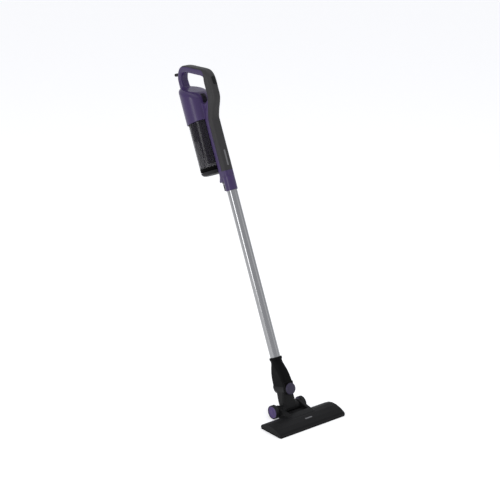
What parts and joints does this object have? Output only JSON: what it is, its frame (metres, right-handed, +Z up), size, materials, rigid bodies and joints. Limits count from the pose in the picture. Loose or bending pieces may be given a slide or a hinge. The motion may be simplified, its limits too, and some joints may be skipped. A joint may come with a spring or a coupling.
{
  "type": "cordless stick vacuum cleaner",
  "caption": "Upright stick vacuum: looped hand unit with clear dust bin and motor, metal wand, and a flat floor nozzle on a two-way neck with rear wheels.",
  "frame": {"origin": "on the floor under the nozzle, at the middle of its width, 55 mm behind its front edge, on the sole's bearing face", "axes": "+Z up, -Y towards the nozzle's front edge, +X across the nozzle, to the right when looking from behind the machine towards its front"},
  "size_m": [0.264, 0.6963, 1.0353],
  "materials": {
    "purple_shell": "moulded, satin gloss",
    "dark_cover": "fine matt grain",
    "badge_grey": "blank satin plate",
    "black_plastic": "satin",
    "steel": "turned",
    "grey_plastic": "satin",
    "green_board": "lacquered",
    "motor_metal": "drawn can",
    "soft_rubber": "matt",
    "filter_felt": "felt",
    "clear_smoke": "clear smoked plastic",
    "wand_aluminium": "drawn, satin anodised",
    "bristle": "nylon pile",
    "tyre_rubber": "matt, fine ribs"
  },
  "bodies": {
    "main_unit": {"body_shell_left": "purple_shell", "body_shell_right": "purple_shell", "spine_cover": "dark_cover", "grip_cover": "dark_cover", "spine_badge": "badge_grey", "vent_grille": "black_plastic", "charge_inlet": "black_plastic", "wand_socket": "purple_shell", "bin_button_spring": "steel", "air_duct": "black_plastic", "battery_pack": "grey_plastic", "control_board": "green_board", "motor": "motor_metal", "motor_ring": "soft_rubber", "fan_shroud": "black_plastic", "pleated_filter": "filter_felt", "filter_frame": "black_plastic", "body_screw_1": "steel", "body_screw_2": "steel", "body_screw_3": "steel", "body_screw_4": "steel"},
    "impeller": {"impeller": "grey_plastic", "motor_shaft": "steel"},
    "power_button": {"power_button": "black_plastic"},
    "wand_button": {"wand_release_button": "black_plastic"},
    "bin_button": {"bin_release_button": "black_plastic"},
    "bin": {"dust_bin": "clear_smoke", "bin_foot": "black_plastic", "cyclone_shroud": "dark_cover", "cyclone_cone": "purple_shell", "lid_hinge_pin": "steel"},
    "bin_lid": {"bin_lid": "grey_plastic"},
    "wand": {"wand_tube": "wand_aluminium", "neck_collar": "black_plastic", "roll_pin": "steel", "roll_cap_front": "purple_shell", "roll_cap_rear": "black_plastic"},
    "neck_link": {"neck_link": "black_plastic"},
    "floor_nozzle": {"nozzle_shell": "black_plastic", "sole_plate": "black_plastic", "bristle_strip": "bristle", "lint_strip_front": "soft_rubber", "lint_strip_rear": "soft_rubber", "sole_screw_1": "steel", "sole_screw_2": "steel", "sole_screw_3": "steel", "sole_screw_4": "steel", "nozzle_badge": "badge_grey", "tilt_pin": "steel", "wheel_axle_left": "steel", "wheel_axle_right": "steel"},
    "wheel_left": {"wheel_left": "purple_shell", "tyre_left": "tyre_rubber"},
    "wheel_right": {"wheel_right": "purple_shell", "tyre_right": "tyre_rubber"}
  },
  "joints": [
    {"name": "impeller_spin", "type": "hinge", "parent": "main_unit", "child": "impeller", "pos_m": [0, 0.51552, 0.88823], "axis": [0, 0.4019, 0.9157], "continuous": true},
    {"name": "power_press", "type": "slide", "parent": "main_unit", "child": "power_button", "axis": [0, 0.9157, -0.4019], "range_m": [0, 0.0015], "stiffness_N_per_m": 600},
    {"name": "wand_release_press", "type": "slide", "parent": "main_unit", "child": "wand_button", "axis": [0, -0.9157, 0.4019], "range_m": [0, 0.0025], "stiffness_N_per_m": 500},
    {"name": "bin_release_press", "type": "slide", "parent": "main_unit", "child": "bin_button", "axis": [0, 0.4019, 0.9157], "range_m": [0, 0.0025], "stiffness_N_per_m": 500},
    {"name": "bin_swing", "type": "hinge", "parent": "main_unit", "child": "bin", "pos_m": [0, 0.54437, 0.83952], "axis": [1, 0, 0], "range_deg": [0, 20]},
    {"name": "lid_swing", "type": "hinge", "parent": "bin", "child": "bin_lid", "pos_m": [0, 0.48296, 0.69589], "axis": [1, 0, 0], "range_deg": [0, 90]},
    {"name": "wand_pull", "type": "slide", "parent": "main_unit", "child": "wand", "axis": [0, -0.4019, -0.9157], "range_m": [0, 0.045]},
    {"name": "neck_roll", "type": "hinge", "parent": "wand", "child": "neck_link", "pos_m": [0, 0.09083, 0.08248], "axis": [0, -0.9694, 0.2453], "range_deg": [-30, 30]},
    {"name": "neck_tilt", "type": "hinge", "parent": "neck_link", "child": "floor_nozzle", "pos_m": [0, 0.0645, 0.0225], "axis": [1, 0, 0], "range_deg": [-20, 45]},
    {"name": "wheel_left_spin", "type": "hinge", "parent": "floor_nozzle", "child": "wheel_left", "pos_m": [-0.0552, 0.071, 0.022], "axis": [1, 0, 0], "continuous": true},
    {"name": "wheel_right_spin", "type": "hinge", "parent": "floor_nozzle", "child": "wheel_right", "pos_m": [0.0552, 0.071, 0.022], "axis": [1, 0, 0], "continuous": true}
  ]
}
